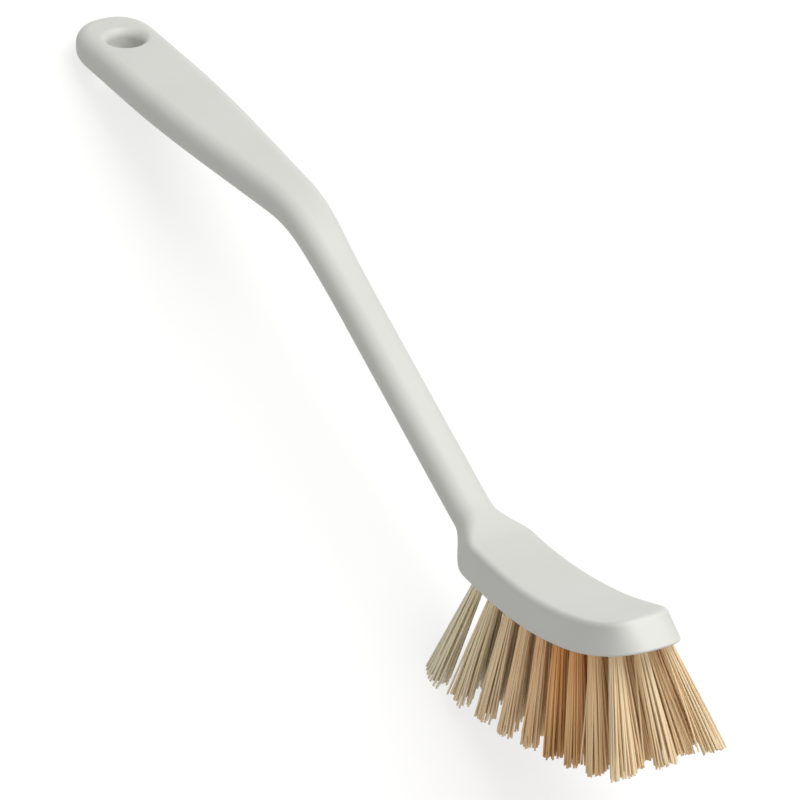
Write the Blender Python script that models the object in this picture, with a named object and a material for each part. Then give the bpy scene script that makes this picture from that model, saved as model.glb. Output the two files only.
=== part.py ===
"""Scrub brush: a one-piece plastic handle and block, set with fanned filament tufts.

The brush is drawn in its handle frame: x runs along the grip from the hanging hole
to the head, y runs across, and z points up out of the grip's flat top. It is then
tipped about y and lifted, so that it lies on the floor as the real brush does, on the
end of its handle and on the tips of its rear row of tufts, the one next to the handle.
"""
import math

import bmesh
import bpy
from mathutils import Matrix, Vector

mm = 0.001
degree = math.radians(1)

# Handle, its lengths taken along the spine, the line through the middle of each section
end_to_hole = 15.5 * mm
end_round_length = 12.6 * mm
end_fullness = 2.3
grip_length = 89.5 * mm
grip_half_width = 10.8 * mm
grip_thickness = 9.2 * mm
bend_radius = 40 * mm
bend_angle = 26.1 * degree
neck_length = 81.8 * mm
neck_half_width = 4.95 * mm
neck_thickness = 9.0 * mm
taper_start = 20 * mm
taper_length = 108 * mm
handle_edge_radius = 3.9 * mm

# Hanging hole through the end of the grip
hole_diameter = 9.4 * mm
hole_lip_radius = 2.6 * mm
hole_lip_sweep = 62 * degree

# Block that the tufts are set in, curved upwards to its front
rise_radius = 42 * mm
rise_angle = 24 * degree
block_length = 71 * mm
block_radius = 132 * mm
block_thickness = 7.6 * mm
flare_length = 14.5 * mm
swell_length = 35 * mm
base_rear_half_width = 10.6 * mm
base_half_width = 11.3 * mm
base_round_length = 30 * mm
base_fullness = 2.7
top_rear_half_width = 8.7 * mm
top_half_width = 9.35 * mm
top_round_length = 17 * mm
top_fullness = 3.4
front_draft = 4.1 * mm
block_top_radius = 1.5 * mm
block_base_radius = 0.5 * mm

# Tufts: rows of three and rows of two take turns along the block, so that neighbours
# in a lane are two rows apart, and the last row is as far forward as its walls allow
tuft_hole_diameter = 3.4 * mm
tuft_hole_depth = 5.2 * mm
rear_wall = 1.5 * mm
front_wall = 8.2 * mm
side_wall = 1.5 * mm
tuft_wall = 0.15 * mm
seat_clearance = 0.3 * mm
triple_lane_shares = (-1, 0, 1)
pair_lane_shares = (-0.5, 0.5)
single_lane_shares = (0,)

# Filaments: how far they stand out, how they lean along and across, and how they spread
rear_reach = 32.6 * mm
middle_reach = 27.9 * mm
front_reach = 27.9 * mm
rear_lean = -16.5 * degree
middle_lean = -1.5 * degree
front_lean = 7.5 * degree
rear_side_lean = 10.5 * degree
middle_side_lean = 11.5 * degree
front_side_lean = 11.5 * degree
tip_spread_share = 0.5
strand_gap = 0.16 * mm
strands_across = 3
floor_cut = 0.5 * mm

# Fineness of the mesh
end_steps = 8
grip_steps = 14
neck_steps = 5
flare_steps = 7
block_steps = 4
front_steps = 9
edge_steps = 4
hole_sides = 28
lip_steps = 4
tuft_hole_sides = 12
rest_angle_limit = 45 * degree
rest_angle_steps = 40
fillet_limit_share = 0.9
cutter_overrun = 2 * mm
sharp_angle = 35 * degree


def smooth(share):
    """Ease from 0 to 1 with level ends."""
    share = min(max(share, 0), 1)
    return share * share * (3 - 2 * share)


def mix(first, second, share):
    """Go from the first value to the second."""
    return first + (second - first) * share


# Spine: runs of a length and a curvature, downwards where negative
spine_runs = (
    (grip_length, 0),
    (bend_radius * bend_angle, -1 / bend_radius),
    (neck_length, 0),
    (rise_radius * rise_angle, 1 / rise_radius),
    (block_length, 1 / block_radius),
)
block_end = sum(length for length, curvature in spine_runs)
block_start = block_end - block_length
flare_start = block_start - flare_length
end_full = end_round_length - end_to_hole
tuft_pitch = tuft_hole_diameter + tuft_wall


def spine(distance):
    """Give the point and the slope of the spine at a distance from the hanging hole."""
    x = 0
    z = 0
    slope = 0
    left = distance
    for index, (length, curvature) in enumerate(spine_runs):
        last = index == len(spine_runs) - 1
        run = left if last else min(left, length)
        turn = run * curvature
        chord = run if turn == 0 else 2 * math.sin(turn / 2) / curvature
        x += chord * math.cos(slope + turn / 2)
        z += chord * math.sin(slope + turn / 2)
        slope += turn
        left -= run
        if left <= 0:
            break
    return Vector((x, 0, z)), slope


def frame_at(distance):
    """Give the spine's point with its forward and upward directions."""
    point, slope = spine(distance)
    forward = Vector((math.cos(slope), 0, math.sin(slope)))
    upward = Vector((-math.sin(slope), 0, math.cos(slope)))
    return point, forward, upward


def body_point(distance, across, height):
    """Place a point given along the spine, across it and above it."""
    point, forward, upward = frame_at(distance)
    return point + upward * height + Vector((0, across, 0))


def half_thickness(distance):
    """Half the body's thickness, from grip to neck to block."""
    handle = mix(grip_thickness, neck_thickness, smooth((distance - taper_start) / taper_length))
    return mix(handle, block_thickness, smooth((distance - flare_start) / flare_length)) / 2


def handle_half_width(distance):
    """Half the width of the grip, tapered to the neck."""
    return mix(grip_half_width, neck_half_width, smooth((distance - taper_start) / taper_length))


def half_width(distance, rear_width, full_width):
    """Half the width of the body, with the block as wide as given."""
    block = mix(rear_width, full_width, smooth((distance - block_start) / swell_length))
    share = smooth((distance - flare_start) / flare_length)
    return mix(handle_half_width(distance), block, share)


def edge_radius(distance, block_value):
    """Radius of the body's long edge, no larger than its wall allows."""
    share = smooth((distance - flare_start) / flare_length)
    wanted = mix(handle_edge_radius, block_value, share)
    wall = min(half_thickness(distance), handle_half_width(distance))
    return min(wanted, wall * fillet_limit_share)


def stations(start, end, steps):
    """Even distances from the start, without the end."""
    return [mix(start, end, step / steps) for step in range(steps)]


def round_shares(steps, fullness):
    """Points of a rounded end, as shares along it and across it, from its tip."""
    angles = [math.pi / 2 * step / steps for step in range(steps)]
    power = 2 / fullness
    return [(math.cos(angle) ** power, math.sin(angle) ** power) for angle in angles]


def outline(rear_width, full_width, front_end, front_length, fullness):
    """One side of the body's plan, from the tip of the handle to the tip of the block."""
    front_full = front_end - front_length
    points = []
    for along, across in round_shares(end_steps, end_fullness):
        points.append((end_full - end_round_length * along, grip_half_width * across))
    taper_end = taper_start + taper_length
    middle = stations(end_full, taper_end, grip_steps)
    middle += stations(taper_end, flare_start, neck_steps)
    middle += stations(flare_start, block_start, flare_steps)
    middle += stations(block_start, front_full, block_steps)
    for distance in middle:
        points.append((distance, half_width(distance, rear_width, full_width)))
    full = half_width(front_full, rear_width, full_width)
    points.append((front_full, full))
    for along, across in reversed(round_shares(front_steps, fullness)):
        points.append((front_full + front_length * along, full * across))
    return points


def base_outline():
    """Plan of the body's underside."""
    return outline(base_rear_half_width, base_half_width, block_end, base_round_length, base_fullness)


def top_outline():
    """Plan of the body's top, shorter and narrower than its underside at the block."""
    front = block_end - front_draft
    return outline(top_rear_half_width, top_half_width, front, top_round_length, top_fullness)


def inset_outline(points, index, inset):
    """One point of an outline, moved in square to it."""
    distance, across = points[index]
    if index == 0:
        return distance + inset, across
    if index == len(points) - 1:
        return distance - inset, across
    before = Vector(points[index - 1])
    after = Vector(points[index + 1])
    along = (after - before).normalized()
    return distance + along.y * inset, across - along.x * inset


def body_loop(points, block_edge, angle, side):
    """A closed loop round the body at one angle of its rounded edge, side -1 for the underside."""
    right = []
    for index, (distance, across) in enumerate(points):
        radius = edge_radius(distance, block_edge)
        inset = radius * (1 - math.cos(angle))
        height = half_thickness(distance) - radius * (1 - math.sin(angle))
        moved, moved_across = inset_outline(points, index, inset)
        right.append((moved, moved_across, side * height))
    left = [(distance, -across, height) for distance, across, height in right[-2:0:-1]]
    return [body_point(*place) for place in right + left]


def skin(mesh, loops):
    """Join loops of equal length with bands of quads, and return the loops' vertices."""
    rings = [[mesh.verts.new(point) for point in loop] for loop in loops]
    for lower, upper in zip(rings, rings[1:]):
        for index in range(len(lower)):
            following = (index + 1) % len(lower)
            mesh.faces.new((lower[index], lower[following], upper[following], upper[index]))
    return rings


def close_across(mesh, ring, side):
    """Close a symmetrical loop with strips that run from its right to its left."""
    half = len(ring) // 2
    for index in range(half):
        face = [ring[index], ring[index + 1], ring[-index - 1], ring[-index]]
        if index == 0:
            face = [ring[0], ring[1], ring[-1]]
        elif index == half - 1:
            face = [ring[index], ring[half], ring[-index]]
        if side < 0:
            face.reverse()
        mesh.faces.new(face)


def new_object(name, mesh, material, matrix=None):
    """Store a bmesh as an object."""
    data = bpy.data.meshes.new(name)
    mesh.to_mesh(data)
    mesh.free()
    thing = bpy.data.objects.new(name, data)
    bpy.context.scene.collection.objects.link(thing)
    if material:
        data.materials.append(material)
    if matrix:
        thing.matrix_world = matrix
    return thing


def facing_out(mesh):
    """Turn all faces of a closed mesh outwards."""
    bmesh.ops.recalc_face_normals(mesh, faces=mesh.faces)


def subtract(thing, cutter):
    """Cut one object out of another for good."""
    modifier = thing.modifiers.new("Cut", "BOOLEAN")
    modifier.operation = "DIFFERENCE"
    modifier.solver = "EXACT"
    modifier.object = cutter
    bpy.context.view_layer.update()
    graph = bpy.context.evaluated_depsgraph_get()
    cut = bpy.data.meshes.new_from_object(thing.evaluated_get(graph))
    thing.modifiers.clear()
    thing.data = cut
    bpy.data.objects.remove(cutter)


def round_shading(thing):
    """Shade the faces smooth, with edges past the sharp angle kept sharp."""
    thing.data.shade_smooth()
    thing.data.set_sharp_from_angle(angle=sharp_angle)


def plain_material(name, color, roughness):
    """A plastic of one colour."""
    material = bpy.data.materials.new(name)
    material.use_nodes = True
    shader = material.node_tree.nodes["Principled BSDF"]
    shader.inputs["Base Color"].default_value = color
    shader.inputs["Roughness"].default_value = roughness
    shader.inputs["Metallic"].default_value = 0
    return material


def circle(radius, sides):
    """Points of a level circle about the origin."""
    turns = [2 * math.pi * side / sides for side in range(sides)]
    return [Vector((radius * math.cos(turn), radius * math.sin(turn), 0)) for turn in turns]


def hanging_hole_cutter():
    """A round bore whose mouths widen with rounded lips."""
    bore = hole_diameter / 2
    face = grip_thickness / 2
    upper = []
    for step in range(lip_steps + 1):
        angle = hole_lip_sweep * step / lip_steps
        radius = bore + hole_lip_radius * (1 - math.cos(angle))
        upper.append((radius, face - hole_lip_radius * (1 - math.sin(angle))))
    end_radius, end_height = upper[-1]
    flat = cutter_overrun / math.tan(math.pi / 2 - hole_lip_sweep)
    upper.append((end_radius + flat, end_height + cutter_overrun))
    profile = [(radius, -height) for radius, height in reversed(upper)] + upper
    mesh = bmesh.new()
    loops = []
    for radius, height in profile:
        loops.append([point + Vector((0, 0, height)) for point in circle(radius, hole_sides)])
    rings = skin(mesh, loops)
    mesh.faces.new(rings[0])
    mesh.faces.new(rings[-1])
    facing_out(mesh)
    return new_object("hanging_hole_cutter", mesh, None)


def row_places():
    """Where each row of tufts sits along the spine, as many rows as the block has room for."""
    first = block_start + rear_wall + tuft_hole_diameter / 2
    last = block_end - front_wall - tuft_hole_diameter / 2
    gaps = int((last - first) / tuft_pitch)
    return [(row, row / gaps, mix(first, last, row / gaps)) for row in range(gaps + 1)]


def lane_shares(row, edge):
    """Where a row's tufts sit across the block, as shares of its outermost place."""
    if edge < tuft_pitch:
        return single_lane_shares
    if row % 2:
        return pair_lane_shares
    return triple_lane_shares


def base_half_width_at(distance):
    """Half the underside's width, also where the front is rounded."""
    front_full = block_end - base_round_length
    full = half_width(distance, base_rear_half_width, base_half_width)
    if distance <= front_full:
        return full
    share = (distance - front_full) / base_round_length
    return full * (1 - share ** base_fullness) ** (1 / base_fullness)


def tuft_matrix(distance, across, lean):
    """Frame at a tuft's mouth: z out of the block along the tuft, y across the brush."""
    point, forward, upward = frame_at(distance)
    mouth = point - upward * half_thickness(distance) + Vector((0, across, 0))
    out = -upward * math.cos(lean) + forward * math.sin(lean)
    side = Vector((0, 1, 0))
    third = side.cross(out)
    matrix = Matrix((third, side, out)).transposed().to_4x4()
    matrix.translation = mouth
    return matrix


def curve(rear, middle, front, share):
    """A value on an even curve through those at the rear, the middle and the front."""
    return mix(mix(rear, middle, 2 * share), mix(middle, front, 2 * share - 1), share)


def tuft_places():
    """Matrix, sideways lean and reach of every tuft, from the handle to the front."""
    inset = side_wall + tuft_hole_diameter / 2
    places = []
    for row, share, distance in row_places():
        edge = base_half_width_at(distance) - inset
        lean = curve(rear_lean, middle_lean, front_lean, share)
        reach = curve(rear_reach, middle_reach, front_reach, share)
        side_lean = curve(rear_side_lean, middle_side_lean, front_side_lean, share)
        for lane_share in lane_shares(row, edge):
            matrix = tuft_matrix(distance, edge * lane_share, lean)
            places.append((matrix, side_lean * lane_share, reach))
    return places


def sheared(height, sideways):
    """A point on a tuft's axis, at a height over its mouth."""
    return Vector((0, height * math.tan(sideways), height))


def tuft_hole_cutter(places):
    """All the blind holes for the tufts, as one cutter."""
    mesh = bmesh.new()
    for matrix, sideways, reach in places:
        loops = []
        for height in (-tuft_hole_depth, cutter_overrun):
            centre = sheared(height, sideways)
            ring = circle(tuft_hole_diameter / 2, tuft_hole_sides)
            loops.append([matrix @ (point + centre) for point in ring])
        rings = skin(mesh, loops)
        mesh.faces.new(rings[0])
        mesh.faces.new(rings[-1])
    facing_out(mesh)
    return new_object("tuft_hole_cutter", mesh, None)


def handle_block(material, places):
    """The moulding: grip, bent neck and curved block in one."""
    mesh = bmesh.new()
    angles = [math.pi / 2 * step / edge_steps for step in range(edge_steps + 1)]
    base = base_outline()
    top = top_outline()
    loops = [body_loop(base, block_base_radius, angle, -1) for angle in reversed(angles)]
    loops += [body_loop(top, block_top_radius, angle, 1) for angle in angles]
    rings = skin(mesh, loops)
    close_across(mesh, rings[0], -1)
    close_across(mesh, rings[-1], 1)
    facing_out(mesh)
    body = new_object("handle_block", mesh, material)
    subtract(body, hanging_hole_cutter())
    subtract(body, tuft_hole_cutter(places))
    round_shading(body)
    return body


def disc_cells(mesh, radius, centre):
    """A round face split in cells, three by three, and its outer vertices in order."""
    count = strands_across
    grid = []
    for row in range(count + 1):
        line = []
        for column in range(count + 1):
            u = 2 * column / count - 1
            v = 2 * row / count - 1
            x = u * math.sqrt(1 - v * v / 2)
            y = v * math.sqrt(1 - u * u / 2)
            line.append(mesh.verts.new(centre + Vector((x * radius, y * radius, 0))))
        grid.append(line)
    cells = []
    for row in range(count):
        for column in range(count):
            corners = (grid[row][column], grid[row][column + 1])
            corners += (grid[row + 1][column + 1], grid[row + 1][column])
            cells.append(mesh.faces.new(corners))
    rim = grid[0][:-1] + [line[-1] for line in grid[:-1]]
    rim += grid[-1][:0:-1] + [line[0] for line in grid[:0:-1]]
    return cells, rim


def tuft(name, material, matrix, sideways, reach):
    """Filaments folded round their anchor: a plug in its hole and strands that fan out of it."""
    mesh = bmesh.new()
    radius = tuft_hole_diameter / 2 - seat_clearance
    foot = sheared(seat_clearance - tuft_hole_depth, sideways)
    face = sheared(-seat_clearance, sideways)
    cells, rim = disc_cells(mesh, radius, face)
    lower = [mesh.verts.new(vertex.co - face + foot) for vertex in rim]
    for index in range(len(rim)):
        following = (index + 1) % len(rim)
        mesh.faces.new((lower[index], lower[following], rim[following], rim[index]))
    mesh.faces.new(lower[::-1])
    bmesh.ops.inset_individual(mesh, faces=cells, thickness=strand_gap / 2, use_even_offset=True)
    tip = sheared(reach, sideways)
    strands = bmesh.ops.extrude_discrete_faces(mesh, faces=cells)["faces"]
    for strand in strands:
        spread = (strand.calc_center_median() - face) * tip_spread_share
        bmesh.ops.translate(mesh, verts=strand.verts, vec=tip - face + spread)
    facing_out(mesh)
    return new_object(name, mesh, material, matrix)


def lowest(points, angle):
    """Height of the lowest point once the brush is tipped up by an angle."""
    return min(point.z * math.cos(angle) + point.x * math.sin(angle) for point in points)


def world_points(things):
    """All the vertices of some objects, in world space."""
    return [thing.matrix_world @ vertex.co for thing in things for vertex in thing.data.vertices]


def rest_angle(body, tufts):
    """Angle at which the handle's end and the cut tips are level, found by halving."""
    body_points = world_points([body])
    tip_points = world_points(tufts)
    low = 0
    high = rest_angle_limit
    for step in range(rest_angle_steps):
        angle = (low + high) / 2
        if lowest(body_points, angle) > lowest(tip_points, angle) + floor_cut:
            low = angle
        else:
            high = angle
    return (low + high) / 2


def cut_at_floor(thing):
    """Cut the strands flat where they meet the floor."""
    inverse = thing.matrix_world.inverted()
    mesh = bmesh.new()
    mesh.from_mesh(thing.data)
    geometry = mesh.verts[:] + mesh.edges[:] + mesh.faces[:]
    floor_point = inverse @ Vector((0, 0, 0))
    floor_normal = inverse.to_3x3() @ Vector((0, 0, -1))
    cut = bmesh.ops.bisect_plane(
        mesh, geom=geometry, plane_co=floor_point, plane_no=floor_normal, clear_outer=True)
    edges = [item for item in cut["geom_cut"] if isinstance(item, bmesh.types.BMEdge)]
    if edges:
        bmesh.ops.holes_fill(mesh, edges=edges, sides=0)
    mesh.to_mesh(thing.data)
    mesh.free()


def lay_down(body, tufts):
    """Tip and lift the brush to its rest, centred over the origin."""
    angle = rest_angle(body, tufts)
    turn = Matrix.Rotation(-angle, 4, "Y")
    floor = lowest(world_points(tufts), angle) + floor_cut
    reach = [(turn @ point).x for point in world_points([body] + tufts)]
    middle = (min(reach) + max(reach)) / 2
    rest = bpy.data.objects.new("rest", None)
    bpy.context.scene.collection.objects.link(rest)
    rest.matrix_world = Matrix.Translation((-middle, 0, -floor)) @ turn
    for thing in [body] + tufts:
        thing.parent = rest
    bpy.context.view_layer.update()
    for thing in tufts:
        cut_at_floor(thing)


def main():
    """Build the brush."""
    for thing in list(bpy.data.objects):
        bpy.data.objects.remove(thing)
    white_plastic = plain_material("white_plastic", (0.80, 0.81, 0.78, 1), 0.42)
    tan_filament = plain_material("tan_filament", (0.50, 0.31, 0.13, 1), 0.38)
    places = tuft_places()
    body = handle_block(white_plastic, places)
    tufts = []
    for number, (matrix, sideways, reach) in enumerate(places, start=1):
        tufts.append(tuft(f"tuft_{number:02d}", tan_filament, matrix, sideways, reach))
    bpy.context.view_layer.update()
    lay_down(body, tufts)


main()
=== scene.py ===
import math
import random

import bmesh
import bpy
from mathutils import Matrix, Vector


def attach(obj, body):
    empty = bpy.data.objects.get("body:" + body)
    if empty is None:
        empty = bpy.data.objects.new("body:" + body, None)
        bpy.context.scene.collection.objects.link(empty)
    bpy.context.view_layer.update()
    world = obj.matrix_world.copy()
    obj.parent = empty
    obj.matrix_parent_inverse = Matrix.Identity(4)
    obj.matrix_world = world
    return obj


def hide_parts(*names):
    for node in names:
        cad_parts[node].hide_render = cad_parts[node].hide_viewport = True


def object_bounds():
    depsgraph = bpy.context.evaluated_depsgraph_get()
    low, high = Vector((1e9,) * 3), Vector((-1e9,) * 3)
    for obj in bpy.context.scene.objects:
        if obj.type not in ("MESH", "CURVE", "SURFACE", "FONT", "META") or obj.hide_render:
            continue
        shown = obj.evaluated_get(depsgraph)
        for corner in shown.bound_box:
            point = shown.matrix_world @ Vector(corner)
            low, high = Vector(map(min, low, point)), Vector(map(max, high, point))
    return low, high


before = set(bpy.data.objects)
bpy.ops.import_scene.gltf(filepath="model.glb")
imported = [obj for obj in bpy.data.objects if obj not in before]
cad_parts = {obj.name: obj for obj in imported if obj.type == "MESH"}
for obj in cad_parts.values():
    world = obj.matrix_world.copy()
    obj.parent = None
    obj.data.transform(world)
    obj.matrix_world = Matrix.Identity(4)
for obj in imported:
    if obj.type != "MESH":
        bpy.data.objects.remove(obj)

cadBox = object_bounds()
print("frame loaded")

mm = 0.001
degree = math.radians(1)


def smooth(share):
    share = min(max(share, 0), 1)
    return share * share * (3 - 2 * share)


def mix(first, second, share):
    return first + (second - first) * share


def curve(values, share):            # an even curve through three values
    rear, middle, front = values
    return mix(mix(rear, middle, 2 * share), mix(middle, front, 2 * share - 1), share)


def evenBetween(values, share):      # straight from each value to the next
    place = share * (len(values) - 1)
    index = min(int(place), len(values) - 2)
    return mix(values[index], values[index + 1], place - index)


def nothingSelected():
    if bpy.context.object and bpy.context.object.mode == "EDIT":
        bpy.ops.mesh.select_all(action="DESELECT")
    else:
        bpy.ops.object.select_all(action="DESELECT")


def onlySelected(piece):
    nothingSelected()
    piece.select_set(True)
    bpy.context.view_layer.objects.active = piece


# The brush is drawn in its handle's own lay: x along the grip from the hanging hole to
# the head, y across, z out of the grip's flat top. Then it is tipped nose up to its rest.
rest = {
    "noseUp": 20.0776 * degree,
    "holePlace": Vector((-131.608, 0, 8.537)) * mm,
}
toRest = Matrix.Translation(rest["holePlace"]) @ Matrix.Rotation(-rest["noseUp"], 4, "Y")

handle = {
    "endToHole": 15.5 * mm,
    "endRoundLength": 12.6 * mm,
    "endFullness": 2.3,
    "gripLength": 89.5 * mm,
    "gripHalfWidth": 10.8 * mm,
    "gripThickness": 9.2 * mm,
    "bendRadius": 40 * mm,
    "bendAngle": 26.1 * degree,
    "neckLength": 81.8 * mm,
    "neckHalfWidth": 4.95 * mm,
    "neckThickness": 9.0 * mm,
    "taperStart": 20 * mm,
    "taperLength": 108 * mm,
    "edgeRadius": 3.9 * mm,
}

block = {
    "riseRadius": 42 * mm,
    "riseAngle": 24 * degree,
    "length": 71 * mm,
    "curveRadius": 132 * mm,
    "thickness": 7.6 * mm,
    "flareLength": 14.5 * mm,
    "swellLength": 35 * mm,
    "baseRearHalfWidth": 10.6 * mm,
    "baseHalfWidth": 11.3 * mm,
    "baseRoundLength": 30 * mm,
    "baseFullness": 2.7,
    "topRearHalfWidth": 8.7 * mm,
    "topHalfWidth": 9.35 * mm,
    "topRoundLength": 17 * mm,
    "topFullness": 3.4,
    "frontDraft": 4.1 * mm,
    "topEdgeRadius": 1.5 * mm,
    "baseEdgeRadius": 0.5 * mm,
}

moulding = {              # how finely the moulding's skin is drawn
    "endSteps": 18,
    "gripSteps": 34,
    "neckSteps": 14,
    "flareSteps": 14,
    "blockSteps": 12,
    "frontSteps": 20,
    "edgeSteps": 8,
    "fittedEdge": 0.9,    # the most of its wall that a rounded edge may take
    "smoothAngle": 32 * degree,
    "flatsFirst": 100,    # how far broad faces outweigh small ones, so that they keep their shade
}

# The line through the middle of every section: lengths with their curvatures, downwards if negative
spineRuns = (
    (handle["gripLength"], 0),
    (handle["bendRadius"] * handle["bendAngle"], -1 / handle["bendRadius"]),
    (handle["neckLength"], 0),
    (block["riseRadius"] * block["riseAngle"], 1 / block["riseRadius"]),
    (block["length"], 1 / block["curveRadius"]),
)
blockEnd = sum(length for length, curvature in spineRuns)
blockStart = blockEnd - block["length"]
flareStart = blockStart - block["flareLength"]
taperEnd = handle["taperStart"] + handle["taperLength"]


def spineAt(distance):               # point, forward and upward, in the handle's lay
    place = Vector((0, 0, 0))
    slope = 0
    left = distance
    for index, (length, curvature) in enumerate(spineRuns):
        run = left if index == len(spineRuns) - 1 else min(left, length)
        turn = run * curvature
        chord = run if turn == 0 else 2 * math.sin(turn / 2) / curvature
        place += Vector((math.cos(slope + turn / 2), 0, math.sin(slope + turn / 2))) * chord
        slope += turn
        left -= run
        if left <= 0:
            break
    forward = Vector((math.cos(slope), 0, math.sin(slope)))
    upward = Vector((-math.sin(slope), 0, math.cos(slope)))
    return place, forward, upward


def bodyPoint(distance, across, height):
    place, forward, upward = spineAt(distance)
    return toRest @ (place + upward * height + Vector((0, across, 0)))


def tapered(distance, grip, neck):   # a size that goes from the grip's to the neck's
    return mix(grip, neck, smooth((distance - handle["taperStart"]) / handle["taperLength"]))


def flared(distance, neck, full):    # a size that goes from the neck's to the block's
    return mix(neck, full, smooth((distance - flareStart) / block["flareLength"]))


def halfThickness(distance):
    ofHandle = tapered(distance, handle["gripThickness"], handle["neckThickness"])
    return flared(distance, ofHandle, block["thickness"]) / 2


def handleHalfWidth(distance):
    return tapered(distance, handle["gripHalfWidth"], handle["neckHalfWidth"])


def halfWidth(distance, rearWidth, fullWidth):
    swell = mix(rearWidth, fullWidth, smooth((distance - blockStart) / block["swellLength"]))
    return flared(distance, handleHalfWidth(distance), swell)


def edgeRadius(distance, blockRadius):
    wanted = flared(distance, handle["edgeRadius"], blockRadius)
    wall = min(halfThickness(distance), handleHalfWidth(distance))
    return min(wanted, wall * moulding["fittedEdge"])


def roundShares(steps, fullness):    # a rounded end as shares along it and across it, from its tip
    power = 2 / fullness
    angles = [90 * degree * step / steps for step in range(steps)]
    return [(math.cos(angle) ** power, math.sin(angle) ** power) for angle in angles]


def evenly(start, end, steps):
    return [mix(start, end, step / steps) for step in range(steps)]


def outline(rearWidth, fullWidth, frontEnd, frontLength, fullness):   # one side of the plan
    endFull = handle["endRoundLength"] - handle["endToHole"]
    frontFull = frontEnd - frontLength
    points = []
    for along, across in roundShares(moulding["endSteps"], handle["endFullness"]):
        distance = endFull - handle["endRoundLength"] * along
        points.append((distance, handle["gripHalfWidth"] * across))
    middle = evenly(endFull, taperEnd, moulding["gripSteps"])
    middle += evenly(taperEnd, flareStart, moulding["neckSteps"])
    middle += evenly(flareStart, blockStart, moulding["flareSteps"])
    middle += evenly(blockStart, frontFull, moulding["blockSteps"]) + [frontFull]
    points += [(distance, halfWidth(distance, rearWidth, fullWidth)) for distance in middle]
    full = halfWidth(frontFull, rearWidth, fullWidth)
    for along, across in reversed(roundShares(moulding["frontSteps"], fullness)):
        points.append((frontFull + frontLength * along, full * across))
    return points


def insetPoint(points, index, inset):
    distance, across = points[index]
    if index == 0:
        return distance + inset, across
    if index == len(points) - 1:
        return distance - inset, across
    along = (Vector(points[index + 1]) - Vector(points[index - 1])).normalized()
    return distance + along.y * inset, across - along.x * inset


def skinLoop(points, blockRadius, angle, side):      # once round, at one angle of the edge
    right = []
    for index, (distance, across) in enumerate(points):
        radius = edgeRadius(distance, blockRadius)
        moved, movedAcross = insetPoint(points, index, radius * (1 - math.cos(angle)))
        height = side * (halfThickness(distance) - radius * (1 - math.sin(angle)))
        right.append((moved, movedAcross, height))
    left = [(distance, -across, height) for distance, across, height in right[-2:0:-1]]
    return [bodyPoint(*place) for place in right + left]


def placeSelected(loop):             # the selected corners go to their seats in a loop
    mesh = bmesh.from_edit_mesh(bpy.context.object.data)
    seat = mesh.verts.layers.int["seat"]
    for corner in mesh.verts:
        if corner.select:
            corner.co = loop[corner[seat]]
    bmesh.update_edit_mesh(bpy.context.object.data)


def selectSeats(sides, loopNumber):  # edges between neighbouring seats of one loop
    mesh = bmesh.from_edit_mesh(bpy.context.object.data)
    seat = mesh.verts.layers.int["seat"]
    level = mesh.verts.layers.int["level"]
    nothingSelected()
    for edge in mesh.edges:
        seats = sorted(corner[seat] for corner in edge.verts)
        if all(corner[level] == loopNumber for corner in edge.verts) and seats[1] - seats[0] == 1:
            if any(low <= seats[0] and seats[1] <= high for low, high in sides):
                edge.select_set(True)
    bmesh.update_edit_mesh(bpy.context.object.data)


def fillCorner(seats, loopNumber):
    mesh = bmesh.from_edit_mesh(bpy.context.object.data)
    seat = mesh.verts.layers.int["seat"]
    level = mesh.verts.layers.int["level"]
    nothingSelected()
    for corner in mesh.verts:
        if corner[level] == loopNumber and corner[seat] in seats:
            corner.select_set(True)
    bmesh.update_edit_mesh(bpy.context.object.data)
    bpy.ops.mesh.edge_face_add()


def cutAway(piece, cutter):
    onlySelected(piece)
    modifier = piece.modifiers.new("cut", "BOOLEAN")
    modifier.operation = "DIFFERENCE"
    modifier.solver = "EXACT"
    modifier.object = cutter
    bpy.ops.object.modifier_apply(modifier=modifier.name)
    bpy.data.objects.remove(cutter)


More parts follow.
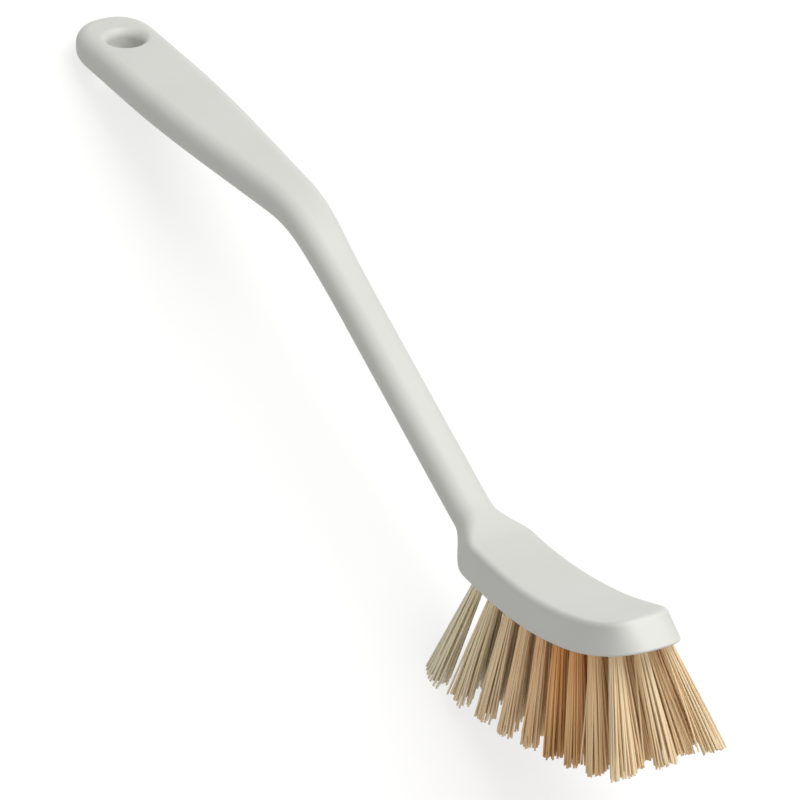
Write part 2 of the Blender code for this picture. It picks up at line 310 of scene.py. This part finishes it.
def modelMoulding():
    base = outline(block["baseRearHalfWidth"], block["baseHalfWidth"], blockEnd,
                   block["baseRoundLength"], block["baseFullness"])
    top = outline(block["topRearHalfWidth"], block["topHalfWidth"], blockEnd - block["frontDraft"],
                  block["topRoundLength"], block["topFullness"])
    edgeSteps = moulding["edgeSteps"]
    angles = [90 * degree * step / edgeSteps for step in range(edgeSteps + 1)]
    loops = [skinLoop(base, block["baseEdgeRadius"], angle, -1) for angle in reversed(angles)]
    loops += [skinLoop(top, block["topEdgeRadius"], angle, 1) for angle in angles]
    count = len(loops[0])
    half = count // 2
    nothingSelected()
    bpy.ops.mesh.primitive_circle_add(vertices=count, radius=handle["gripHalfWidth"],
                                      fill_type="NOTHING")
    body = bpy.context.object
    body.name = "handleAndBlock"
    seats = body.data.attributes.new("seat", "INT", "POINT")
    seats.data.foreach_set("value", range(count))
    body.data.attributes.new("level", "INT", "POINT")
    bpy.ops.object.mode_set(mode="EDIT")
    bpy.ops.mesh.select_all(action="SELECT")
    placeSelected(loops[0])
    for number, loop in enumerate(loops[1:], start=1):     # each loop is drawn out of the last
        bpy.ops.mesh.extrude_region_move(TRANSFORM_OT_translate={"value": (0, 0, mm)})
        placeSelected(loop)
        mesh = bmesh.from_edit_mesh(body.data)
        level = mesh.verts.layers.int["level"]
        for corner in mesh.verts:
            if corner.select:
                corner[level] = number
        bmesh.update_edit_mesh(body.data)
    for loopNumber in (0, len(loops) - 1):       # strips across close the underside and the top
        selectSeats(((1, half - 1), (half + 1, count - 1)), loopNumber)
        bpy.ops.mesh.bridge_edge_loops()
        fillCorner((0, 1, count - 1), loopNumber)
        fillCorner((half - 1, half, half + 1), loopNumber)
    bpy.ops.mesh.select_all(action="SELECT")
    bpy.ops.mesh.normals_make_consistent(inside=False)
    bpy.ops.object.mode_set(mode="OBJECT")
    cutAway(body, hangingHoleCutter())
    cutAway(body, tuftHoleCutter())
    for name in ("seat", "level"):
        if name in body.data.attributes:
            body.data.attributes.remove(body.data.attributes[name])
    onlySelected(body)
    bpy.ops.object.shade_smooth_by_angle(angle=moulding["smoothAngle"])
    modifier = body.modifiers.new("even shading", "WEIGHTED_NORMAL")
    modifier.keep_sharp = True
    modifier.weight = moulding["flatsFirst"]
    bpy.ops.object.modifier_apply(modifier=modifier.name)
    return body


hangingHole = {
    "diameter": 9.4 * mm,
    "lipRadius": 2.6 * mm,
    "lipSweep": 62 * degree,
    "lipSteps": 10,
    "sides": 96,
    "overrun": 2 * mm,       # how far the cutter stands out past both faces
}


def hangingHoleCutter():             # turned like a lathe piece: bore, then lips that open outwards
    bore = hangingHole["diameter"] / 2
    face = handle["gripThickness"] / 2
    lip = hangingHole["lipRadius"]
    upper = []
    for step in range(hangingHole["lipSteps"] + 1):
        angle = hangingHole["lipSweep"] * step / hangingHole["lipSteps"]
        upper.append((bore + lip * (1 - math.cos(angle)), face - lip * (1 - math.sin(angle))))
    widest, height = upper[-1]
    overrun = hangingHole["overrun"]
    upper.append((widest + overrun * math.tan(hangingHole["lipSweep"]), height + overrun))
    profile = [(radius, -height) for radius, height in reversed(upper)] + upper
    nothingSelected()
    bpy.ops.mesh.primitive_circle_add(vertices=hangingHole["sides"], radius=profile[0][0],
                                      fill_type="NOTHING", location=(0, 0, profile[0][1]))
    cutter = bpy.context.object
    bpy.ops.object.transform_apply(location=True, rotation=False, scale=False)
    bpy.ops.object.mode_set(mode="EDIT")
    bpy.ops.mesh.select_all(action="SELECT")
    bpy.ops.mesh.edge_face_add()
    for (radius, height), (nextRadius, nextHeight) in zip(profile, profile[1:]):
        rise = nextHeight - height
        grow = nextRadius / radius
        bpy.ops.mesh.extrude_region_move(TRANSFORM_OT_translate={"value": (0, 0, rise)})
        bpy.ops.transform.resize(value=(grow, grow, 1), center_override=(0, 0, nextHeight))
    bpy.ops.mesh.select_all(action="SELECT")
    bpy.ops.mesh.normals_make_consistent(inside=False)
    bpy.ops.object.mode_set(mode="OBJECT")
    cutter.matrix_world = toRest
    return cutter


tuft = {
    "holeDiameter": 3.4 * mm,
    "holeDepth": 3.6 * mm,           # less than in the solid, since the filaments hide it
    "holeSides": 24,
    "rearWall": 1.5 * mm,
    "frontWall": 8.2 * mm,
    "sideWall": 1.5 * mm,
    "wall": 0.15 * mm,
    "tripleLanes": (-1, 0, 1),       # from the near edge to the far edge
    "pairLanes": (-0.5, 0.5),
    "reach": (32.6 * mm, 27.9 * mm, 27.9 * mm),             # rear, middle and front of the block
    "lean": (-16.5 * degree, -1.5 * degree, 7.5 * degree),
    "sideLean": (10.5 * degree, 11.5 * degree, 11.5 * degree),
    "tipSpread": (1.35, 0.75, 1.05),                        # how much wider it is at its tips
    "wander": 1.1 * degree,          # how far one tuft may stand out of line
    # painted depth from rear to front: amber painted in for light through many filaments, and
    # painted shade
    "paintedDepth": (0.08, 0.3, 0.38, 0.55, 0.9, 0.55, 0.35),   # how amber, from rear to front
}


def baseHalfWidthAt(distance):
    frontFull = blockEnd - block["baseRoundLength"]
    full = halfWidth(distance, block["baseRearHalfWidth"], block["baseHalfWidth"])
    if distance <= frontFull:
        return full
    share = (distance - frontFull) / block["baseRoundLength"]
    return full * (1 - share ** block["baseFullness"]) ** (1 / block["baseFullness"])


def tuftPlaces():    # the frame at each mouth, the direction in it, and the share along the block
    radius = tuft["holeDiameter"] / 2
    first = blockStart + tuft["rearWall"] + radius
    last = blockEnd - tuft["frontWall"] - radius
    gaps = int((last - first) / (tuft["holeDiameter"] + tuft["wall"]))
    places = []
    for row in range(gaps + 1):
        share = row / gaps
        distance = mix(first, last, share)
        edge = baseHalfWidthAt(distance) - tuft["sideWall"] - radius
        lean = curve(tuft["lean"], share)
        for lane in (tuft["pairLanes"] if row % 2 else tuft["tripleLanes"]):
            place, forward, upward = spineAt(distance)
            mouth = place - upward * halfThickness(distance) + Vector((0, edge * lane, 0))
            out = forward * math.sin(lean) - upward * math.cos(lean)
            side = Vector((0, 1, 0))
            turn = Matrix((side.cross(out), side, out)).transposed().to_4x4()
            turn.translation = mouth
            direction = Vector((0, math.tan(curve(tuft["sideLean"], share) * lane), 1))
            places.append((toRest @ turn, direction, share))
    return places


def tuftHoleCutter():
    nothingSelected()
    cutters = []
    for matrix, direction, share in tuftPlaces():
        bpy.ops.mesh.primitive_cylinder_add(vertices=tuft["holeSides"],
                                            radius=tuft["holeDiameter"] / 2,
                                            depth=2 * tuft["holeDepth"])
        cutter = bpy.context.object
        cutter.matrix_world = matrix @ direction.to_track_quat("Z", "Y").to_matrix().to_4x4()
        cutters.append(cutter)
    nothingSelected()
    for cutter in cutters:
        cutter.select_set(True)
    bpy.context.view_layer.objects.active = cutters[0]
    bpy.ops.object.join()
    bpy.ops.object.transform_apply(location=True, rotation=True, scale=True)
    return cutters[0]


filament = {
    "seed": 7,             # another number draws other filaments
    "diameter": 0.52 * mm,
    "sides": 6,
    "steps": 4,            # between mouth and tip, with one more below the mouth
    "smoothAngle": 70 * degree,
    "spacing": 0.43 * mm,
    "bundleRadius": 1.43 * mm,
    "looseness": 0.08 * mm,
    "rootDepth": 2.4 * mm,
    "shortest": 0.963,     # of its tuft's reach
    "bow": 0.35 * mm,
    "slant": 1.3 * degree,
    "strayShare": 0.1,
    "straySlant": 5 * degree,
    "strayShortest": 0.85,
    "roomLeft": 0.1 * mm,
}


def modelFilament():                 # 1 high for each step, with its root at 0 and its mouth at 1
    nothingSelected()
    bpy.ops.mesh.primitive_circle_add(vertices=filament["sides"], radius=filament["diameter"] / 2,
                                      fill_type="NGON")
    strand = bpy.context.object
    bpy.ops.object.mode_set(mode="EDIT")
    bpy.ops.mesh.select_all(action="SELECT")
    for step in range(filament["steps"] + 1):
        bpy.ops.mesh.extrude_region_move(TRANSFORM_OT_translate={"value": (0, 0, 1)})
    bpy.ops.mesh.select_all(action="SELECT")
    bpy.ops.mesh.normals_make_consistent(inside=False)
    bpy.ops.object.mode_set(mode="OBJECT")
    bpy.ops.object.shade_smooth_by_angle(angle=filament["smoothAngle"])
    along = strand.data.attributes.new("along", "FLOAT", "POINT")
    shares = [max(corner.co.z - 1, 0) / filament["steps"] for corner in strand.data.vertices]
    along.data.foreach_set("value", shares)
    return strand


def bundlePlaces(chance):            # filaments packed roughly as in a honeycomb, turned any way
    spacing = filament["spacing"]
    radius = filament["bundleRadius"]
    loose = filament["looseness"]
    reach = int(radius / spacing) + 1
    turn = Matrix.Rotation(chance.uniform(0, 60) * degree, 3, "Z")
    shift = Vector((chance.uniform(-0.5, 0.5), chance.uniform(-0.5, 0.5), 0)) * spacing
    places = []
    for row in range(-reach, reach + 1):
        for column in range(-reach, reach + 1):
            across = (column + 0.5 * (row % 2)) * spacing
            place = Vector((across, row * spacing * math.sin(60 * degree), 0))
            slip = Vector((chance.uniform(-loose, loose), chance.uniform(-loose, loose), 0))
            place += shift + slip
            if place.length <= radius:
                places.append(turn @ place)
    return places


def insideBox(mouth, tip):           # a tip past the box leans back in, or is cut at the floor
    room = filament["roomLeft"] + filament["diameter"] / 2
    for axis in range(2):
        tip[axis] = min(max(tip[axis], cadBox[0][axis] + room), cadBox[1][axis] - room)
    floor = filament["roomLeft"]
    return tip if tip.z > floor else mouth.lerp(tip, (mouth.z - floor) / (mouth.z - tip.z))


def anySideways(chance):
    turn = chance.uniform(0, 360) * degree
    return Vector((math.cos(turn), math.sin(turn), 0))


def filamentPath(place, matrix, direction, share, chance):     # root, then from mouth to tip
    slant = filament["slant"]
    shortest = filament["shortest"]
    if chance.random() < filament["strayShare"]:
        slant = filament["straySlant"]
        shortest = filament["strayShortest"]
    drift = anySideways(chance) * math.tan(slant * chance.random())
    bow = matrix.to_3x3() @ (anySideways(chance) * filament["bow"] * chance.random())
    length = curve(tuft["reach"], share) * chance.uniform(shortest, 1)
    full = place * (1 + curve(tuft["tipSpread"], share)) + (direction + drift) * length
    mouth = matrix @ place
    tip = insideBox(mouth, matrix @ full)
    path = [matrix @ (place - direction * filament["rootDepth"])]
    for step in range(filament["steps"] + 1):
        part = step / filament["steps"]
        path.append(mouth.lerp(tip, part) + bow * 4 * part * (1 - part))    # full bow halfway
    return path


def modelTuft(number, template, matrix, direction, share, chance):
    copies = []
    # this tuft's painted depth: painted amber of light through many filaments, and painted shade
    paintedDepth = evenBetween(tuft["paintedDepth"], share)
    direction = direction + anySideways(chance) * math.tan(tuft["wander"] * chance.random())
    for place in bundlePlaces(chance):
        path = filamentPath(place, matrix, direction, share, chance)
        copy = template.copy()
        copy.data = template.data.copy()
        bpy.context.collection.objects.link(copy)
        for corner in copy.data.vertices:
            sideways = matrix.to_3x3() @ Vector((corner.co.x, corner.co.y, 0))
            corner.co = path[round(corner.co.z)] + sideways
        # each filament's random tone, and its tuft's painted depth
        for name, value in (("tone", chance.random()), ("paintedDepthLayer", paintedDepth)):
            layer = copy.data.attributes.new(name, "FLOAT", "POINT")
            layer.data.foreach_set("value", [value] * len(copy.data.vertices))
        copies.append(copy)
    nothingSelected()
    for copy in copies:
        copy.select_set(True)
    bpy.context.view_layer.objects.active = copies[0]
    bpy.ops.object.join()
    copies[0].name = f"filaments_{number:02d}"
    return copies[0]


def linearColour(code):              # from an sRGB hex value
    parts = [int(code[start:start + 2], 16) / 255 for start in (1, 3, 5)]
    linear = [part / 12.92 if part <= 0.04045 else ((part + 0.055) / 1.055) ** 2.4
              for part in parts]
    return (*linear, 1)


# A setting or a link goes by its name or its socket's number, and a colour is a hex value
def addNode(tree, kind, settings, links):
    node = tree.nodes.new(kind)
    for name, value in settings.items():
        if isinstance(name, str) and hasattr(node, name):
            setattr(node, name, value)
        elif isinstance(value, str):
            node.inputs[name].default_value = linearColour(value)
        else:
            node.inputs[name].default_value = value
    for name, socket in links.items():
        tree.links.new(socket, node.inputs[name])
    return node


def newMaterial(name):
    material = bpy.data.materials.new(name)
    material.use_nodes = True
    return material, material.node_tree.nodes["Principled BSDF"]


# The sockets of a Mix node that is set to colours: its share, its two colours, and its result
mixShare, mixFirst, mixSecond, mixed = 0, 6, 7, 2

mouldedPlastic = {
    "fair": "#E6E6E1",
    "dull": "#DEDED8",
    "roughness": (0.36, 0.46),
    "refraction": 1.49,
    "clouds": {"size": 30 * mm, "detail": 2},
    "handling": {"size": 7 * mm, "detail": 4},
    "sinks": {"size": 16 * mm, "detail": 1, "height": 0.05 * mm},
    "grain": {"size": 0.5 * mm, "detail": 2, "height": 0.006 * mm},   # coarser than real, to show
}


def mouldedPolypropylene():
    # injection moulded polypropylene: a satin white with a fine grain from the mould,
    # faint sinks over its thick parts, and a slightly uneven gloss from handling
    material, shader = newMaterial("mouldedPolypropylene")
    tree = material.node_tree
    where = addNode(tree, "ShaderNodeTexCoord", {}, {}).outputs["Object"]
    pattern = {}
    for name in ("clouds", "handling", "sinks", "grain"):
        values = mouldedPlastic[name]
        noise = addNode(tree, "ShaderNodeTexNoise",
                        {"Scale": 1 / values["size"], "Detail": values["detail"]},
                        {"Vector": where})
        pattern[name] = noise.outputs["Fac"]
    colour = addNode(tree, "ShaderNodeMix",
                     {"data_type": "RGBA", mixFirst: mouldedPlastic["dull"],
                      mixSecond: mouldedPlastic["fair"]}, {mixShare: pattern["clouds"]})
    low, high = mouldedPlastic["roughness"]
    gloss = addNode(tree, "ShaderNodeMapRange", {"To Min": low, "To Max": high},
                    {"Value": pattern["handling"]})
    sinks = addNode(tree, "ShaderNodeBump",
                    {"Strength": 1, "Distance": mouldedPlastic["sinks"]["height"]},
                    {"Height": pattern["sinks"]})
    grain = addNode(tree, "ShaderNodeBump",
                    {"Strength": 1, "Distance": mouldedPlastic["grain"]["height"]},
                    {"Height": pattern["grain"], "Normal": sinks.outputs["Normal"]})
    tree.links.new(colour.outputs[mixed], shader.inputs["Base Color"])
    tree.links.new(gloss.outputs["Result"], shader.inputs["Roughness"])
    tree.links.new(grain.outputs["Normal"], shader.inputs["Normal"])
    shader.inputs["IOR"].default_value = mouldedPlastic["refraction"]
    return material


drawnFilament = {
    "paleDark": "#FFF3CF",
    "paleFair": "#FFFDE4",
    # amber: painted depth, standing in for light that has passed through many filaments
    "amberDark": "#F0AC4E",
    "amberFair": "#F8BA60",
    # painted shade at the roots, mixed in by the painted depth
    "root": "#EC9A28",
    "rootShadeShare": 0.8,      # how strongly the root takes that painted shade at full painted depth
    "rootShadeFades": 0.6,      # where it has faded out, as a share of the length
    "tip": "#B8863E",
    "tipShare": 0.8,
    "tipStarts": 0.5,      # where it begins, as a share of the length
    "roughness": 0.24,
    "refraction": 1.57,
    "specular": 0.45,
}


def drawnPolyester():
    # drawn polyester filament, tan and clear enough to let light through, which opaque colours
    # stand in for: each filament has its own tone, and a painted depth paints the amber of light
    # through many filaments, with painted shade deepest at the roots and browner at the tips
    material, shader = newMaterial("drawnPolyesterFilament")
    tree = material.node_tree
    layer = {}
    for name in ("tone", "along", "paintedDepthLayer"):
        reader = addNode(tree, "ShaderNodeAttribute", {"attribute_name": name}, {})
        layer[name] = reader.outputs["Fac"]
    colour = {}
    for name in ("pale", "amber"):
        toned = addNode(tree, "ShaderNodeMix",
                        {"data_type": "RGBA", mixFirst: drawnFilament[name + "Dark"],
                         mixSecond: drawnFilament[name + "Fair"]}, {mixShare: layer["tone"]})
        colour[name] = toned.outputs[mixed]
    # the painted depth turns pale filaments amber
    finish = addNode(tree, "ShaderNodeMix", {"data_type": "RGBA"},
                     {mixShare: layer["paintedDepthLayer"], mixFirst: colour["pale"],
                      mixSecond: colour["amber"]})
    # the painted depth squared weighs the painted root shade and the browner tips
    paintedShadeWeight = addNode(tree, "ShaderNodeMath", {"operation": "MULTIPLY"},
                   {0: layer["paintedDepthLayer"], 1: layer["paintedDepthLayer"]})
    ends = {
        "root": {"From Max": drawnFilament["rootShadeFades"],
                 "To Min": drawnFilament["rootShadeShare"], "To Max": 0},
        "tip": {"From Min": drawnFilament["tipStarts"], "To Max": drawnFilament["tipShare"]},
    }
    for name, fade in ends.items():
        near = addNode(tree, "ShaderNodeMapRange", fade, {"Value": layer["along"]})
        share = addNode(tree, "ShaderNodeMath", {"operation": "MULTIPLY"},
                        {0: near.outputs["Result"], 1: paintedShadeWeight.outputs[0]})
        finish = addNode(tree, "ShaderNodeMix",
                         {"data_type": "RGBA", mixSecond: drawnFilament[name]},
                         {mixShare: share.outputs[0], mixFirst: finish.outputs[mixed]})
    tree.links.new(finish.outputs[mixed], shader.inputs["Base Color"])
    shader.inputs["Roughness"].default_value = drawnFilament["roughness"]
    shader.inputs["IOR"].default_value = drawnFilament["refraction"]
    shader.inputs["Specular IOR Level"].default_value = drawnFilament["specular"]
    return material


floorAndBackdrop = {
    "colour": "#9E9E9C",
    "glow": 0.73,           # seen straight or in reflections, but it lights nothing
    "glowColour": "#FFFFFF",
    "roughness": 0.8,
    "specular": 0.1,
    "size": 8,
}


def seenRays(tree):                  # 1 for rays that only show what they meet, and light nothing
    rays = addNode(tree, "ShaderNodeLightPath", {}, {})
    seen = rays.outputs["Is Camera Ray"]
    for name in ("Is Glossy Ray", "Is Transmission Ray"):
        either = addNode(tree, "ShaderNodeMath", {"operation": "MAXIMUM"},
                         {0: seen, 1: rays.outputs[name]})
        seen = either.outputs[0]
    return seen


def layFloor():
    nothingSelected()
    bpy.ops.mesh.primitive_plane_add(size=floorAndBackdrop["size"])
    floor = bpy.context.object
    floor.name = "floor"
    material, shader = newMaterial("paleFloor")
    tree = material.node_tree
    glow = addNode(tree, "ShaderNodeMath", {"operation": "MULTIPLY", 1: floorAndBackdrop["glow"]},
                   {0: seenRays(tree)})
    tree.links.new(glow.outputs[0], shader.inputs["Emission Strength"])
    shader.inputs["Emission Color"].default_value = linearColour(floorAndBackdrop["glowColour"])
    shader.inputs["Base Color"].default_value = linearColour(floorAndBackdrop["colour"])
    shader.inputs["Roughness"].default_value = floorAndBackdrop["roughness"]
    shader.inputs["Specular IOR Level"].default_value = floorAndBackdrop["specular"]
    floor.data.materials.append(material)


camera = {
    "azimuth": 50.99 * degree,     # 0 looks along +y
    "elevation": 46.35 * degree,
    "roll": -15.99 * degree,
    "lookAt": Vector((16.75, 0, 32.25)) * mm,
    "distance": 1237.2 * mm,
    "lens": 231.1,
    "sensor": 36,
    "farthest": 20,                # takes in the whole floor
}


def aimCamera():
    azimuth = camera["azimuth"]
    elevation = camera["elevation"]
    back = Vector((math.sin(azimuth) * math.cos(elevation),
                   -math.cos(azimuth) * math.cos(elevation), math.sin(elevation)))
    right = Vector((math.cos(azimuth), math.sin(azimuth), 0))
    up = back.cross(right)
    leaning = up * math.cos(camera["roll"]) + right * math.sin(camera["roll"])
    nothingSelected()
    bpy.ops.object.camera_add(location=camera["lookAt"] + back * camera["distance"])
    eye = bpy.context.object
    turn = Matrix((leaning.cross(back), leaning, back)).transposed()
    eye.rotation_euler = turn.to_euler()
    eye.data.lens = camera["lens"]
    eye.data.sensor_width = camera["sensor"]
    eye.data.clip_end = camera["farthest"]
    bpy.context.scene.camera = eye
    bpy.context.scene.view_settings.view_transform = "Standard"


lamps = {
    "key": {"place": (0.15, 0.42, 1.35), "size": 1.1, "power": 13.2},
    "front": {"place": (1.35, -0.62, 0.35), "size": 0.9, "power": 4},
}

surroundings = {
    "colour": "#FFFFFF",
    "light": 0.38,          # on the brush
    "seen": 1,              # by the camera and in reflections
}


def light():
    for name, values in lamps.items():
        nothingSelected()
        bpy.ops.object.light_add(type="AREA", location=values["place"])
        lamp = bpy.context.object
        lamp.name = name
        lamp.data.size = values["size"]
        lamp.data.energy = values["power"]
        lamp.rotation_euler = (camera["lookAt"] - lamp.location).to_track_quat("-Z", "Y").to_euler()
    world = bpy.data.worlds.new("studio")
    bpy.context.scene.world = world
    world.use_nodes = True
    tree = world.node_tree
    around = tree.nodes["Background"]
    around.inputs["Color"].default_value = linearColour(surroundings["colour"])
    around.inputs["Strength"].default_value = surroundings["light"]
    bright = addNode(tree, "ShaderNodeBackground",
                     {"Color": surroundings["colour"], "Strength": surroundings["seen"]}, {})
    blend = addNode(tree, "ShaderNodeMixShader", {},
                    {0: seenRays(tree), 1: around.outputs[0], 2: bright.outputs[0]})
    tree.links.new(blend.outputs[0], tree.nodes["World Output"].inputs["Surface"])


aimCamera()
light()
layFloor()
print("camera, lamps and floor set")

plastic = mouldedPolypropylene()
polyester = drawnPolyester()
print("materials made")

moulded = modelMoulding()
moulded.data.materials.clear()
moulded.data.materials.append(plastic)
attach(moulded, "root")
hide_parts("handle_block")
print("handle and block modelled")

template = modelFilament()
chance = random.Random(filament["seed"])
for number, (matrix, direction, share) in enumerate(tuftPlaces(), start=1):
    piece = modelTuft(number, template, matrix, direction, share, chance)
    piece.data.materials.clear()
    piece.data.materials.append(polyester)
    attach(piece, "root")
    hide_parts(f"tuft_{number:02d}")
bpy.data.objects.remove(template)
print("filaments modelled")
